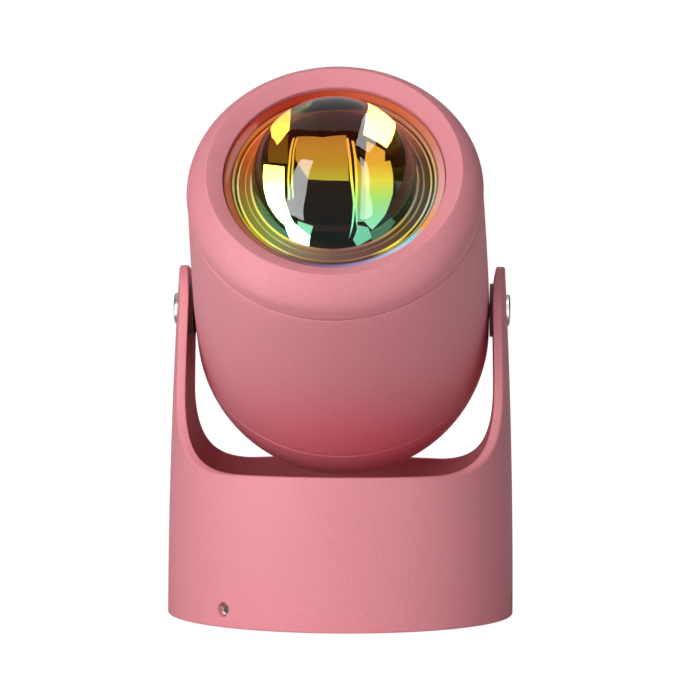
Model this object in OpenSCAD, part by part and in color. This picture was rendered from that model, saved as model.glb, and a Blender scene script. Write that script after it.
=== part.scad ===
// Sunset projection lamp: a domed head that tilts between the two ears of a round sleeve.
// Millimetres, +Z up. The origin is the middle of the base pad's underside; the front is -Y
// and the tilt axis runs along X.

/* [Head] */
// Diameter of the head at the tilt axis and of its rear dome
head_d = 59.8; // [54:0.2:66]
// How much the head's radius draws in from the tilt axis to the front cap's seam
nose_draw = 1.6; // [0:0.1:2]
// Distance from the tilt axis back to the middle of the rear dome
dome_back = 7; // [6.4:0.2:8.4]
// Distance from the middle of the rear dome back to its seam
dome_seam_back = 1.2; // [1:0.2:3]
// Distance from the tilt axis forward to the front cap's seam
body_front = 38.4; // [38:0.2:42]
// Length of the front cap beyond its seam
cap_len = 8.7; // [8.4:0.1:10]
// Width of the front cap's rounded edge, in the cap's face
cap_edge_w = 4.2; // [3.5:0.1:5]
// Length of the rounded edge along the head, from the seam's short land to the crest
cap_edge_len = 8.4; // [6:0.1:8.4]
// Elevation of the head above level, as it stands
head_tilt = 34.2; // [0:0.1:90]

/* [Shells] */
// Wall of the main body at its nose
nose_wall = 1.8; // [1.4:0.1:2.4]
// Step of the thick ring inside the main body that holds the pivots
web_step = 1.3; // [1:0.1:2]
// Wall of the rear dome
dome_wall = 1.6; // [1.2:0.1:2.2]
// Length of the rear dome's skirt inside the main body
skirt_len = 4; // [3.4:0.2:5]
// Wall of the skirts that slip into the main body
skirt_wall = 1.6; // [1.2:0.1:2]
// Length of the front cap's spigot inside the main body
spigot_len = 5; // [3:0.5:8]

/* [Lens] */
// Width of the dished face between the cap's rounded edge and the opening
face_w = 2.95; // [1.5:0.05:4]
// Depth of the dished face, from its crest to the opening
face_dish = 1.6; // [0.6:0.1:2]
// Thickness of the cap's lip in front of the lens
lip_t = 2.2; // [1.4:0.1:2.8]
// Distance from the edge of the opening in to the lens dome
dome_inset = 5.45; // [3:0.05:8]
// Height of the straight neck under the lens dome
lens_neck = 1; // [0.5:0.1:3]
// Thickness of the lens flange
flange_t = 2.4; // [1.6:0.1:3]
// How far the lip overlaps the lens flange
lip_overlap = 1.45; // [1:0.05:1.8]
// Thickness of the gasket behind the lens
gasket_t = 0.8; // [0.5:0.1:1.2]
// Thickness of the coated filter glass
filter_t = 1.1; // [0.7:0.1:1.6]

/* [Light engine] */
// Thickness of the heat sink's plate
sink_plate_t = 6; // [5:0.5:8]
// Length of the heat sink's fins
fin_len = 8; // [4:0.5:9]
// Thickness of one fin
fin_t = 1.2; // [0.8:0.1:1.6]
// Distance between two fins
fin_pitch = 4; // [3:0.5:5]
// Diameter of the lamp board
star_d = 20; // [18:0.5:22]
// Thickness of the lamp board
star_t = 1.6; // [1:0.1:2]
// Thickness of the heat pad under the lamp board
heat_pad_t = 0.3; // [0.2:0.1:0.6]
// Thickness of the driver board
driver_t = 1.6; // [1.2:0.1:2]

/* [Yoke] */
// Height of the tilt axis
pivot_h = 61.8; // [61:0.2:70]
// Height of the sleeve's rim, front and back
rim_h = 29.9; // [24:0.1:30.2]
// Wall of the sleeve
sleeve_wall = 1.8; // [1.4:0.1:2.4]
// How far the ears lean in between the foot and the tilt axis
ear_lean = 1.55; // [0.5:0.05:2]
// Radius of the ears' round tops
ear_r = 8.8; // [8:0.1:10]
// Half width of an ear above its fillets
ear_half_w = 10; // [9:0.1:12]
// Radius of the fillets between the ears and the rim
rim_fillet = 18; // [10:0.5:19]
// Space between the head and an ear, for the washer
side_gap = 1.75; // [1.2:0.05:2.6]

/* [Pivots] */
// Diameter of the pivot and set screws
screw_d = 3; // [2.5:0.1:3.4]
// Diameter of the pivot screws' heads
screw_head_d = 6.4; // [5.6:0.1:7]
// Height of the pivot screws' heads
screw_head_h = 1.2; // [1:0.1:1.6]
// Depth of the flat that seats a pivot screw's head in the ear
seat_depth = 0.35; // [0.3:0.05:0.6]
// Diameter of the friction washers
washer_d = 10.8; // [9:0.1:12]
// Outer diameter of the threaded inserts
insert_d = 4.6; // [4.2:0.1:5]

/* [Base] */
// Thickness of the ballast disc
ballast_t = 6.8; // [6:0.2:12]
// Height of the foot's edge above the table
foot_lift = 0.2; // [0.2:0.1:0.6]
// Thickness of the base pad
pad_t = 1; // [0.8:0.1:1.4]
// Depth of the pad's recess in the ballast disc
pad_recess = 0.6; // [0.4:0.1:0.7]
// Distance from the foot's edge in to the pad's edge
pad_inset = 3.4; // [3:0.1:6]
// Length of the set screws
set_len = 5; // [4:0.5:8]
// Height of the set screws
set_h = 3.7; // [3:0.1:4.6]

/* [Cable outlet] */
// Bore of the cable gland
gland_bore_d = 3.8; // [3:0.1:4.4]
// Diameter of the hole in the dome
gland_hole_d = 6; // [5.6:0.1:7]
// Diameter of the gland's two flanges
gland_flange_d = 8; // [7.6:0.1:9]
// Thickness of each gland flange
gland_flange_t = 1.2; // [0.8:0.1:1.6]

/* [Hidden] */

$fn = 96;
running = 0.05;      // radial and end clearance of what turns
slip = 0.05;         // radial clearance of a slip fit
glass_room = 0.1;    // radial room around a glass edge
cut = 1;             // how far a cutting shape runs past a face
left = -1;
right = 1;

pink = [0.88, 0.58, 0.62];
steel = [0.75, 0.75, 0.77];
brass = [0.85, 0.68, 0.35];
black = [0.09, 0.09, 0.1];

// Head, along its own axis: z = 0 is the tilt axis and +z points at the lens.
head_r = head_d / 2;
nose_r = head_r - nose_draw;
dome_z = -dome_back;
seam_z = dome_z - dome_seam_back;
face_z = body_front + cap_len;
face_r = nose_r - cap_edge_w;
opening_r = face_r - face_w;
opening_z = face_z - face_dish;
lens_seat_z = opening_z - lip_t;
lens_back_z = lens_seat_z - flange_t;
barrel_front_z = lens_back_z - gasket_t;
lens_pocket_r = opening_r + lip_overlap;
flange_r = lens_pocket_r - glass_room;
lens_dome_r = opening_r - dome_inset;

bore_r = nose_r - nose_wall;
web_r = bore_r - web_step;
skirt_r = bore_r - slip;
spigot_wall = 2;
spigot_web = 0.6;                    // what is left of the spigot's bore under the cap's seam
web_back_z = seam_z + skirt_len + driver_t;
pole_z = dome_z - head_r + 0.35;     // a small flat that seats the gland
dome_root = 3;                       // depth of the ring that carries the dome's skirt
drill_room = 0.5;                    // how far a blind hole runs past its screw

// Light engine. Its plate rests on the front shoulder of the thick ring.
web_front_half = 8;
sink_back_z = web_front_half;
sink_front_z = sink_back_z + sink_plate_t;
sink_fin_r = web_r - 6;
board_z = sink_front_z + heat_pad_t;
board_top_z = board_z + star_t;
star_r = star_d / 2;
notch_r = 1.7;
notch_at = star_r - 0.3;
board_screw_d = 3;
board_head_d = 5.6;
board_head_h = 1.8;
board_screw_len = 4.5;
chip_w = 5;
chip_t = 0.9;
parts_x = 9;
parts_y = 7;
coil_r = 4;
coil_h = 7;
can_r = 3.2;
can_h = 9;
driver_chip = [6, 5, 1.6];
cable_plug = [8, 5, 6];
resistor = [6, 3, 1];
wire_r = 0.6;
wire_hole_r = 1.1;

barrel_r = lens_pocket_r - glass_room;
barrel_wall = 2;
barrel_foot_t = 2;
aperture_z = 24;
aperture_t = 1.5;
aperture_r = 8;
filter_r = opening_r - 2.45;
filter_ledge = 1.2;
filter_z = barrel_front_z - filter_t;

// Sleeve
foot_r = head_r + side_gap + sleeve_wall + ear_lean;
ear_out_r = foot_r - ear_lean;
sleeve_top = pivot_h + ear_r;
screw_r = screw_d / 2;
screw_seat = ear_out_r - seat_depth;
screw_tip = web_r - 0.9;
insert_in = web_r;
insert_out = head_r - 0.3;

// Base
ballast_z = foot_lift + 0.1;
ballast_r = foot_r - sleeve_wall - 0.1;
pad_r = foot_r - pad_inset;
set_angles = [-38, 82, 202];         // seen from above, from the front towards the right
set_out = foot_r - 0.6;

// The sleeve's outer radius at a height: a draft that grows with the square of the height.
function sleeve_r(z) = foot_r - ear_lean * pow(z / pivot_h, 2);

// The main body's outer radius along its axis: full at the pivots, then drawn in to the nose,
// slowly at first so that the flank has no crease.
function body_r(z) = z <= 0 ? head_r : head_r - nose_draw * pow(z / body_front, 1.25);

// Places what is drawn along +z onto the head's axis, at the head's tilt.
module on_head() {
    translate([0, 0, pivot_h]) rotate([90 - head_tilt, 0, 0]) children();
}

// Turns what is drawn along +z onto the tilt axis, pointing out of one side.
module on_pivot(side) {
    translate([0, 0, pivot_h]) rotate([0, 90 * side, 0]) children();
}

module tube(r_out, r_in, z_low, z_high) {
    difference() {
        translate([0, 0, z_low]) cylinder(r = r_out, h = z_high - z_low);
        translate([0, 0, z_low - cut]) cylinder(r = r_in, h = z_high - z_low + 2 * cut);
    }
}

module rod(r, z_low, z_high) {
    translate([0, 0, z_low]) cylinder(r = r, h = z_high - z_low);
}

// A turned solid that follows the sleeve's draft, inset by some wall thickness.
module drafted(inset, z_low, z_high) {
    steps = 12;
    rings = [for (i = [0 : steps]) z_low + (z_high - z_low) * i / steps];
    rotate_extrude()
        polygon(concat([[0, z_low]], [for (z = rings) [sleeve_r(z) - inset, z]], [[0, z_high]]));
}

// ---------------------------------------------------------------- sleeve and base

// The sleeve seen from the side: a band with one round-topped ear, joined by fillets.
// The ear's straight flanks are the inner tangents of the top and the fillet circles.
module sleeve_side() {
    fillet_y = ear_half_w + rim_fillet;
    fillet_z = rim_h + rim_fillet;
    drop = pivot_h - fillet_z;
    reach = sqrt(fillet_y * fillet_y + drop * drop);
    lean = acos((ear_r + rim_fillet) / reach) - atan2(drop, fillet_y);
    top_y = ear_r * cos(lean);
    top_z = pivot_h + ear_r * sin(lean);
    low_y = fillet_y - rim_fillet * cos(lean);
    low_z = fillet_z - rim_fillet * sin(lean);
    translate([-foot_r - cut, foot_lift]) square([2 * (foot_r + cut), rim_h - foot_lift]);
    translate([0, pivot_h]) circle(r = ear_r);
    polygon([[-low_y, low_z], [low_y, low_z], [top_y, top_z], [-top_y, top_z]]);
    difference() {
        translate([-fillet_y, rim_h - cut]) square([2 * fillet_y, low_z - rim_h + cut]);
        for (side = [left, right])
            translate([side * fillet_y, fillet_z]) circle(r = rim_fillet);
    }
}

module yoke_sleeve() {
    color(pink) difference() {
        intersection() {
            difference() {
                drafted(0, 0, sleeve_top + cut);
                drafted(sleeve_wall, -cut, sleeve_top + 2 * cut);
            }
            rotate([90, 0, 90])
                translate([0, 0, -foot_r - cut])
                    linear_extrude(2 * (foot_r + cut)) sleeve_side();
        }
        for (side = [left, right]) on_pivot(side) {
            rod(screw_r + running, web_r, foot_r + cut);
            rod(screw_head_d / 2 + 0.2, screw_seat, foot_r + cut);
        }
        for (a = set_angles)
            rotate([0, 0, a]) translate([0, 0, set_h]) rotate([90, 0, 0])
                rod(screw_r + running, foot_r - 2 * sleeve_wall, foot_r + cut);
    }
}

module ballast_disc() {
    chamfer = 1;
    top = ballast_z + ballast_t;
    color(steel) difference() {
        rotate_extrude() polygon([[0, ballast_z], [ballast_r, ballast_z],
            [ballast_r, top - chamfer], [ballast_r - chamfer, top], [0, top]]);
        rod(pad_r + slip, 0, ballast_z + pad_recess);
        for (a = set_angles)
            rotate([0, 0, a]) translate([0, 0, set_h]) rotate([90, 0, 0])
                rod(screw_r, set_out - set_len - drill_room, foot_r);
    }
}

module base_pad() {
    color(black) rod(pad_r, 0, ballast_z + pad_recess);
}

// Three headless screws with a hexagon socket lock the ballast disc in the sleeve.
module set_screws() {
    socket_r = screw_d * 0.29;
    color(steel) for (a = set_angles)
        rotate([0, 0, a]) translate([0, 0, set_h]) rotate([90, 0, 0]) difference() {
            rod(screw_r, set_out - set_len, set_out);
            translate([0, 0, set_out - screw_r]) cylinder(r = socket_r, h = screw_d, $fn = 6);
        }
}

// A soft washer: flat towards the head, crowned to the sleeve's inner wall.
module friction_washer(side) {
    color(black) intersection() {
        on_pivot(side) tube(washer_d / 2, screw_r + 0.2, head_r + running, foot_r);
        drafted(sleeve_wall + slip, pivot_h - washer_d, pivot_h + washer_d);
    }
}

module friction_washer_left() { friction_washer(left); }
module friction_washer_right() { friction_washer(right); }

// ---------------------------------------------------------------- pivots

// A pan head screw: its head turns on the ear's flat, its thread sits in the body's insert.
module pivot_screw(side) {
    crown = (pow(screw_head_d / 2, 2) + pow(screw_head_h, 2)) / (2 * screw_head_h);
    under = screw_seat + running;
    slot_w = 0.7;
    color(steel) on_pivot(side) difference() {
        union() {
            rod(screw_r, screw_tip, under);
            intersection() {
                rod(screw_head_d / 2, under, under + screw_head_h);
                translate([0, 0, under + screw_head_h - crown]) sphere(r = crown);
            }
        }
        for (turn = [0, 90])
            rotate([0, 0, turn])
                translate([-slot_w / 2, -screw_head_d / 4, under + screw_head_h * 0.35])
                    cube([slot_w, screw_head_d / 2, screw_head_h]);
    }
}

module pivot_screw_left() { pivot_screw(left); }
module pivot_screw_right() { pivot_screw(right); }

module pivot_insert(side) {
    color(brass) on_pivot(side) tube(insert_d / 2, screw_r, insert_in, insert_out);
}

module pivot_insert_left() { pivot_insert(left); }
module pivot_insert_right() { pivot_insert(right); }

// ---------------------------------------------------------------- head shells

module main_body() {
    steps = 10;
    seam_r = sqrt(head_r * head_r - dome_seam_back * dome_seam_back);
    flank = [for (i = [0 : steps]) [body_r(body_front * i / steps), body_front * i / steps]];
    color(pink) difference() {
        on_head() difference() {
            rotate_extrude() polygon(concat([[0, seam_z], [seam_r, seam_z], [head_r, dome_z]],
                flank, [[0, body_front]]));
            rod(web_r, seam_z - cut, body_front + cut);
            rod(bore_r, sink_back_z, body_front + cut);
            rod(bore_r, seam_z - cut, web_back_z);
        }
        for (side = [left, right]) on_pivot(side) rod(insert_d / 2, web_r - cut, head_r + cut);
    }
}

// A spun hemisphere whose skirt slips into the main body and clamps the driver board.
module rear_dome() {
    color(pink) on_head() difference() {
        union() {
            difference() {
                translate([0, 0, dome_z]) sphere(r = head_r);
                translate([0, 0, dome_z]) sphere(r = head_r - dome_wall);
                rod(head_r + cut, seam_z, head_r);
            }
            intersection() {
                translate([0, 0, dome_z]) sphere(r = head_r - dome_wall / 2);
                tube(head_r, skirt_r - skirt_wall, seam_z - dome_root, seam_z);
            }
            tube(skirt_r, skirt_r - skirt_wall, seam_z - dome_root, seam_z + skirt_len);
        }
        rod(gland_flange_d, dome_z - head_r - cut, pole_z);
        rod(gland_hole_d / 2, dome_z - head_r - cut, dome_z - head_r / 2);
    }
}

// The cap's outline: a short land, a quarter of an ellipse and a dished face round the opening.
module front_cap() {
    steps = 18;
    edge_z = face_z - cap_edge_len;
    edge = [for (i = [0 : steps]) [face_r + cap_edge_w * cos(90 * i / steps),
        edge_z + cap_edge_len * sin(90 * i / steps)]];
    color(pink) on_head() difference() {
        union() {
            rotate_extrude()
                polygon(concat([[0, body_front], [nose_r, body_front]], edge, [[0, face_z]]));
            rod(skirt_r, body_front - spigot_len, body_front);
        }
        rod(opening_r, 0, face_z + cut);
        rod(lens_pocket_r, 0, lens_seat_z);
        rod(skirt_r - spigot_wall, 0, body_front - spigot_web);
        translate([0, 0, opening_z]) cylinder(r1 = opening_r, r2 = face_r, h = face_dish + 0.001);
    }
}

module cable_gland() {
    inner_z = pole_z + dome_wall;
    color(black) on_head() difference() {
        union() {
            rod(gland_flange_d / 2, pole_z - gland_flange_t, pole_z);
            rod(gland_hole_d / 2, pole_z, inner_z);
            rod(gland_flange_d / 2, inner_z, inner_z + gland_flange_t);
        }
        rod(gland_bore_d / 2, pole_z - gland_flange_t - cut, inner_z + gland_flange_t + cut);
    }
}

// ---------------------------------------------------------------- optics

// A thick lens: a flange behind the cap's lip, a short neck and half a ball of glass.
module lens() {
    ball_z = lens_seat_z + lens_neck;
    color([0.95, 0.8, 0.4, 0.5]) on_head() union() {
        rod(flange_r, lens_back_z, lens_seat_z);
        rod(lens_dome_r, lens_back_z + 0.5, ball_z);
        difference() {
            translate([0, 0, ball_z]) sphere(r = lens_dome_r);
            rod(2 * lens_dome_r, ball_z - 2 * lens_dome_r, ball_z);
        }
    }
}

module lens_gasket() {
    color(black) on_head() tube(flange_r, filter_r - filter_ledge, barrel_front_z, lens_back_z);
}

module filter_glass() {
    color([0.95, 0.5, 0.2, 0.6]) on_head() rod(filter_r - glass_room, filter_z, barrel_front_z);
}

// The black tube that spaces the lens from the lamp. Its foot stands on the heat sink, its
// aperture cuts the beam and its front seats the filter and the gasket.
module lens_barrel() {
    ledge_z = filter_z - barrel_wall;
    color(black) on_head() difference() {
        union() {
            rod(barrel_r, sink_front_z, barrel_front_z);
            rod(skirt_r, sink_front_z, sink_front_z + barrel_foot_t);
        }
        rod(barrel_r - barrel_wall, sink_front_z - cut, aperture_z);
        rod(aperture_r, aperture_z - cut, aperture_z + aperture_t + cut);
        rod(barrel_r - barrel_wall, aperture_z + aperture_t, ledge_z);
        rod(filter_r - filter_ledge, ledge_z - cut, filter_z + cut);
        rod(filter_r, filter_z, barrel_front_z + cut);
    }
}

// ---------------------------------------------------------------- light engine

module heat_sink() {
    pairs = round(sink_fin_r / fin_pitch);
    color([0.6, 0.61, 0.63]) on_head() difference() {
        union() {
            rod(skirt_r, sink_back_z, sink_front_z);
            intersection() {
                rod(sink_fin_r, sink_back_z - fin_len, sink_back_z + cut);
                for (i = [-pairs : pairs - 1])
                    translate([(i + 0.5) * fin_pitch - fin_t / 2, -head_r, sink_back_z - fin_len])
                        cube([fin_t, head_d, fin_len + cut]);
            }
        }
        for (side = [left, right]) {
            translate([side * notch_at, 0, 0])
                rod(board_screw_d / 2, board_top_z - board_screw_len - drill_room, sink_front_z + cut);
            translate([0, side * notch_at, 0])
                rod(wire_hole_r, sink_back_z - cut, sink_front_z + cut);
        }
    }
}

module heat_pad() {
    color([0.5, 0.55, 0.7]) on_head() rod(star_r - notch_r - 0.6, sink_front_z, board_z);
}

// A round metal-core board with four notches: two for its screws and two for the leads.
module lamp_board() {
    color([0.93, 0.93, 0.9]) on_head() difference() {
        rod(star_r, board_z, board_top_z);
        for (turn = [0 : 90 : 270])
            rotate([0, 0, turn])
                translate([notch_at, 0, 0]) rod(notch_r, board_z - cut, board_top_z + cut);
    }
}

module lamp_chip() {
    lens_r = 1.9;
    color([0.95, 0.85, 0.35]) on_head() {
        translate([-chip_w / 2, -chip_w / 2, board_top_z]) cube([chip_w, chip_w, chip_t]);
        translate([0, 0, board_top_z + chip_t - 0.1]) difference() {
            sphere(r = lens_r);
            rod(chip_w, -chip_w, 0);
        }
    }
}

module board_screws() {
    color(steel) on_head() for (side = [left, right])
        translate([side * notch_at, 0, 0]) {
            rod(board_screw_d / 2, board_top_z - board_screw_len, board_top_z);
            rod(board_head_d / 2, board_top_z, board_top_z + board_head_h);
        }
}

// A round board clamped between the thick ring's rear shoulder and the dome's skirt.
module driver_board() {
    color([0.1, 0.35, 0.2]) on_head() rod(skirt_r, web_back_z - driver_t, web_back_z);
}

module driver_parts() {
    back = web_back_z - driver_t;
    color(black) on_head() {
        translate([-parts_x, parts_y, 0]) rod(coil_r, back - coil_h, back);
        translate([parts_x, parts_y, 0]) rod(can_r, back - can_h, back);
        for (part = [[0, 0, driver_chip], [-parts_x, -parts_y, cable_plug], [parts_x, -parts_y, resistor]])
            translate([part[0] - part[2][0] / 2, part[1] - part[2][1] / 2, back - part[2][2]])
                cube(part[2]);
    }
}

// Two insulated leads from the lamp board, down through the heat sink to the driver board.
module lead_wires() {
    over = board_top_z + wire_r;
    inner = notch_at - 3.5;
    color([0.7, 0.1, 0.1]) on_head() for (side = [left, right]) {
        translate([0, side * notch_at, 0]) rod(wire_r, web_back_z, over);
        translate([0, side * notch_at, over]) sphere(r = wire_r);
        translate([0, side * notch_at, over]) rotate([90 * side, 0, 0])
            rod(wire_r, 0, notch_at - inner);
    }
}

yoke_sleeve();
ballast_disc();
base_pad();
set_screws();
friction_washer_left();
friction_washer_right();
main_body();
rear_dome();
front_cap();
lens();
lens_gasket();
filter_glass();
lens_barrel();
heat_sink();
heat_pad();
lamp_board();
lamp_chip();
board_screws();
driver_board();
driver_parts();
lead_wires();
pivot_insert_left();
pivot_insert_right();
pivot_screw_left();
pivot_screw_right();
cable_gland();
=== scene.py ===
"""Sunset projection lamp: a domed head with a glass lens, tilting between the two ears of a round
sleeve. The shells, the glass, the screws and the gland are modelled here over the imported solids; the
other pieces keep their solids and get their finishes."""
import math

import bpy
import numpy as np
from mathutils import Matrix, Vector

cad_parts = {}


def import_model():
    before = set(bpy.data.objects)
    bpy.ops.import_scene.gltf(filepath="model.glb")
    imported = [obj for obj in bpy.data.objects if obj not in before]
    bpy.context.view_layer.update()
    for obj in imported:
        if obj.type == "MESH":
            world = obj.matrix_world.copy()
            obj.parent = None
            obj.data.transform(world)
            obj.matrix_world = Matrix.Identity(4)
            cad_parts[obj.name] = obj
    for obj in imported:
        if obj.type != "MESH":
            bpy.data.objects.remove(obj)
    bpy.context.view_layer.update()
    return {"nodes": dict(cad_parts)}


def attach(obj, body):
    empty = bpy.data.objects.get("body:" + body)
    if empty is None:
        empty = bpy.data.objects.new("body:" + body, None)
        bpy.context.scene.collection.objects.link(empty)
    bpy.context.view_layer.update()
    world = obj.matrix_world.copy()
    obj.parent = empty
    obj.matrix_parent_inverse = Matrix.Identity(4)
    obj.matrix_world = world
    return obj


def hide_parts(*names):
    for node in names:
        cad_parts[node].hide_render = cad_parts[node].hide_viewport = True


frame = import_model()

MM = 0.001

# ------------------------------------------------------------------ sizes, in millimetres

# the head, with lengths along it from the tilt axis, positive towards the lens
PIVOT_H = 61.8            # height of the tilt axis
HEAD_TILT = 34.2          # elevation of the head, in degrees
HEAD_R = 29.9             # radius of the head at the tilt axis and of the rear dome
NOSE_R = 28.3             # radius at the front cap's seam
BODY_FRONT = 38.4         # the front cap's seam
DOME_MID = -7.0           # middle of the rear dome
DOME_SEAM = -8.2          # the rear dome's seam
DOME_POLE = -36.55        # the small flat that seats the gland
DOME_WALL = 1.6
BODY_BORE = 26.5          # radius inside the main body
WEB_BORE = 25.2           # radius inside the thick ring that holds the pivots
WEB_BACK, WEB_FRONT = -2.6, 8.0
SLIP_R = 26.45            # outside of the skirt and the spigot that slip into the main body
SKIRT_BORE = 24.85        # the rear dome's skirt
SKIRT_END = -4.2
SPIGOT_BORE = 24.45       # the front cap's spigot
SPIGOT_LEN = 5.0
SEAM_GAP = 0.14
SEAM_ROUND = 0.18         # rounding of the lips at the rear dome's seam

# the front cap and the lens in it
CAP_CREST = 47.5          # the cap's front edge
CAP_CREST_R = 24.2
CAP_BEND = 40.9           # where the cap starts to round off towards the crest
OPENING_T = 45.5          # the opening's front edge
OPENING_R = 21.15
LENS_SEAT = 43.3          # the lip's back face, on the lens's flange
POCKET_R = 22.6           # the pocket that holds the flange
FLANGE_R = 22.5
LENS_BACK = 40.9          # the lens's flat back
BALL_T = 44.3             # middle of the lens ball
BALL_R = 15.7
RING_BED = LENS_SEAT - 0.2        # the glass under the flange's rings

# the sleeve
FOOT_R = 35.0
EAR_LEAN = 1.55           # how far an ear leans in at the tilt axis
WALL = 1.8
FOOT_LIFT = 0.2           # height of the foot's edge above the table
RIM_H = 29.9
RIM_FILLET = 18.0
EAR_R = 8.8
EAR_HALF_W = 10.0
EDGE_ROUND = 0.4

# fasteners and gland, with lengths outwards from the lamp's middle
SCREW_R = 1.5             # pivot screws
SCREW_END = 24.3
SCREW_HEAD_R = 3.2
SCREW_HEAD_H = 1.0
SEAT_X = 33.1             # the spot face under a pivot screw's head
SEAT_R = 3.4
SEAT_FLARE = 33.38        # where the spot face's side starts to open
EAR_INSIDE, EAR_OUTSIDE = 30.0, 34.5      # well clear of an ear's two faces
GRUB_R = 1.3              # set screws
GRUB_OUT = 34.2
GRUB_LEN = 4.8
SOCKET_R = 0.87
SET_ANGLES = (-38, 82, 202)
SET_H = 3.7
HOLE_ROOM = 0.05          # radial room of a screw in its hole
GLAND_BORE = 1.9
GLAND_NECK = 3.0          # radius of the hole in the dome
GLAND_R = 4.0
GLAND_FLANGE = 1.2        # thickness of each of the gland's flanges

UP = np.array([0.0, 0.0, 1.0])
BACKWARD = np.array([0.0, 1.0, 0.0])
SIDE = np.array([1.0, 0.0, 0.0])
PIVOT = PIVOT_H * UP
tilt = math.radians(HEAD_TILT)
AHEAD = np.array([0.0, -math.cos(tilt), math.sin(tilt)])     # along the head, towards the lens
CROWN = np.array([0.0, math.sin(tilt), math.cos(tilt)])      # square to the head, upwards
HEAD = (PIVOT, SIDE, CROWN, AHEAD)


# ------------------------------------------------------------------ making surfaces

def placed(points, place):
    """Origin + first coordinate along the first axis, second along the second, third along the third."""
    origin, a, b, c = place
    return origin + points[..., :1] * a + points[..., 1:2] * b + points[..., 2:] * c


def piece(name, verts, faces, body, material, stands_for=(), crisp=None):
    """One smooth mesh from millimetre points and a list of faces, riding on a body. Edges over the
    crisp angle, in degrees, stay sharp."""
    mesh = bpy.data.meshes.new(name)
    mesh.from_pydata((np.asarray(verts) * MM).tolist(), [], faces)
    mesh.polygons.foreach_set("use_smooth", np.ones(len(mesh.polygons), bool))
    mesh.update()
    if crisp:
        mesh.set_sharp_from_angle(angle=math.radians(crisp))
    mesh.materials.append(material)
    obj = bpy.data.objects.new(name, mesh)
    bpy.context.scene.collection.objects.link(obj)
    if body:
        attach(obj, body)
    if stands_for:
        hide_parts(*stands_for)
    return obj


def grid_faces(rows, cols, round_rows, round_cols):
    """Quads between neighbours on a rows x cols grid, closed round either way where asked."""
    r = np.arange(rows if round_rows else rows - 1)[:, None]
    c = np.arange(cols if round_cols else cols - 1)[None, :]
    r2, c2 = (r + 1) % rows, (c + 1) % cols
    quads = np.stack([r * cols + c, r * cols + c2, r2 * cols + c2, r2 * cols + c], -1)
    return quads.reshape(-1, 4)


def softened(corners, rounds, steps=5):
    """A closed outline with rounded corners. At each corner the arc is the blend
    corner + (a - corner)(1 - sin t) + (b - corner)(1 - cos t) between a point on either side, at
    the arc's tangent length from the corner; a round of 0 keeps the corner."""
    p = np.asarray(corners, float)
    r = np.asarray(rounds, float)
    to_last, to_next = np.roll(p, 1, 0) - p, np.roll(p, -1, 0) - p
    len_last, len_next = np.linalg.norm(to_last, axis=1), np.linalg.norm(to_next, axis=1)
    u, v = to_last / len_last[:, None], to_next / len_next[:, None]
    half = np.arccos(np.clip((u * v).sum(1), -1, 1)) / 2
    reach = np.minimum(r / np.tan(half), 0.48 * np.minimum(len_last, len_next))
    t = np.linspace(0, math.pi / 2, steps + 1)[None, :, None]
    a, b = u * reach[:, None], v * reach[:, None]
    arcs = p[:, None] + a[:, None] * (1 - np.sin(t)) + b[:, None] * (1 - np.cos(t))
    arcs = arcs.reshape(-1, 2)
    apart = np.linalg.norm(arcs - np.roll(arcs, 1, 0), axis=1) > 1e-5
    return arcs[apart]


def arc(mid_r, mid_t, radius, start, stop, steps):
    """Points (r, t) on a circle round (mid_r, mid_t), from one angle to another in degrees; 0 points
    outwards and 90 ahead."""
    a = np.radians(np.linspace(start, stop, steps))
    return np.stack([mid_r + radius * np.cos(a), mid_t + radius * np.sin(a)], 1)


def turned(outline, place, around=192, shape=None, shaped=()):
    """A closed outline of (r, t) points turned about an axis: (r cos a, r sin a, t). The points
    numbered in shaped follow a recess's outline instead of a circle: r shape(a). A row that lies on
    the axis is merged into one point. Returns the points and faces, facing outwards."""
    outline = np.asarray(outline, float)
    flags = np.zeros(len(outline), bool)
    flags[list(shaped)] = True
    following = np.roll(outline, -1, 0)
    area = np.sum(outline[:, 0] * following[:, 1] - following[:, 0] * outline[:, 1])
    if area < 0:
        outline, flags = outline[::-1], flags[::-1]
    a = np.linspace(0, 2 * math.pi, around, endpoint=False)
    r, t = outline[:, :1], outline[:, 1:]
    r = np.where(flags[:, None], r * shape(a), r * np.ones(around)) if shape else r
    ring = np.stack([r * np.cos(a), r * np.sin(a), np.broadcast_to(t, (len(t), around))], -1)
    faces = grid_faces(len(outline), around, True, True)
    at_axis = outline[:, 0] < 1e-6
    index = np.arange(len(outline) * around).reshape(len(outline), around)
    index[at_axis] = index[at_axis][:, :1]
    faces = index.reshape(-1)[faces]
    verts = placed(ring.reshape(-1, 3), place)
    used, compact = np.unique(faces, return_inverse=True)
    faces = compact.reshape(-1, 4)
    return verts[used], tidy_faces(faces)


def hexagon(a):
    """A hexagon's radius at an angle, with corners at 1: cos 30 / cos of the angle from the nearest
    flat's middle."""
    off = (a + math.pi / 6) % (math.pi / 3) - math.pi / 6
    return math.cos(math.pi / 6) / np.cos(off)


def cross(a, slot=0.27):
    """A cross recess's radius at an angle, with arms of length 1 and a half width: the nearer of an
    arm's end and its side."""
    off = np.abs((a + math.pi / 4) % (math.pi / 2) - math.pi / 4)
    return np.minimum(1 / np.cos(off), slot / np.maximum(np.sin(off), 1e-6))


def tidy_faces(faces):
    """Quads as lists, with repeated corners dropped and slivers of two corners left out."""
    same = faces == np.roll(faces, 1, axis=1)
    kept = []
    clean = ~same.any(1)
    kept.extend(faces[clean].tolist())
    for quad, dup in zip(faces[~clean], same[~clean]):
        left = quad[~dup].tolist()
        if len(set(left)) >= 3:
            kept.append(left)
    return kept


# ------------------------------------------------------------------ finishes

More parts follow.
